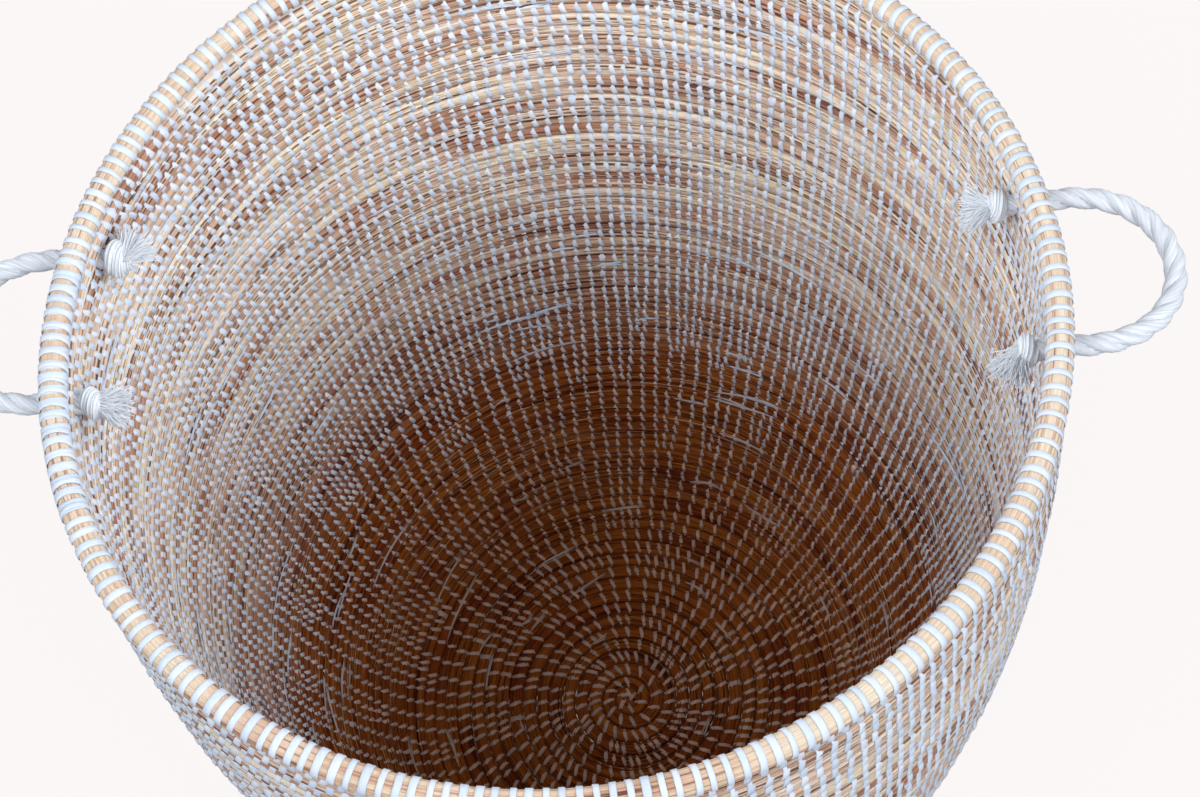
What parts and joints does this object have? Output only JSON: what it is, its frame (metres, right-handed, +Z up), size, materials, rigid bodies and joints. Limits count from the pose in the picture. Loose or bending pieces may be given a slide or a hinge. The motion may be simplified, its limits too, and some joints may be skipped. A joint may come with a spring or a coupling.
{
  "type": "laundry basket",
  "caption": "Tall round laundry basket coiled from grass and oversewn with white strip, with a thick lashed rim and rope handles knotted inside the wall.",
  "frame": {"origin": "on the ground under the middle of the floor", "axes": "+Z up out of the mouth, +X towards the right-hand handle, -Y towards the front"},
  "size_m": [0.6022, 0.5078, 0.6505],
  "materials": {
    "coiled_grass": "matte",
    "lashed_rim": "satin",
    "white_rope": "matte",
    "frayed_rope": "matte"
  },
  "bodies": {
    "basket": {"floor_coil": "coiled_grass", "wall_coil": "coiled_grass", "rim_coil": "lashed_rim", "knot_left_front": "white_rope", "knot_left_back": "white_rope", "knot_right_front": "white_rope", "knot_right_back": "white_rope", "tassel_left_front": "frayed_rope", "tassel_left_back": "frayed_rope", "tassel_right_front": "frayed_rope", "tassel_right_back": "frayed_rope"},
    "handle_left": {"handle_rope_left": "white_rope"},
    "handle_right": {"handle_rope_right": "white_rope"}
  },
  "joints": [
    {"name": "handle_right_swing", "type": "hinge", "parent": "basket", "child": "handle_right", "pos_m": [0.24397, 0.01279, 0.623], "axis": [0.0523, -0.9986, 0], "range_deg": [-75, 85]},
    {"name": "handle_left_swing", "type": "hinge", "parent": "basket", "child": "handle_left", "pos_m": [-0.24397, 0.01279, 0.623], "axis": [0.0523, 0.9986, 0], "range_deg": [-75, 85]}
  ]
}
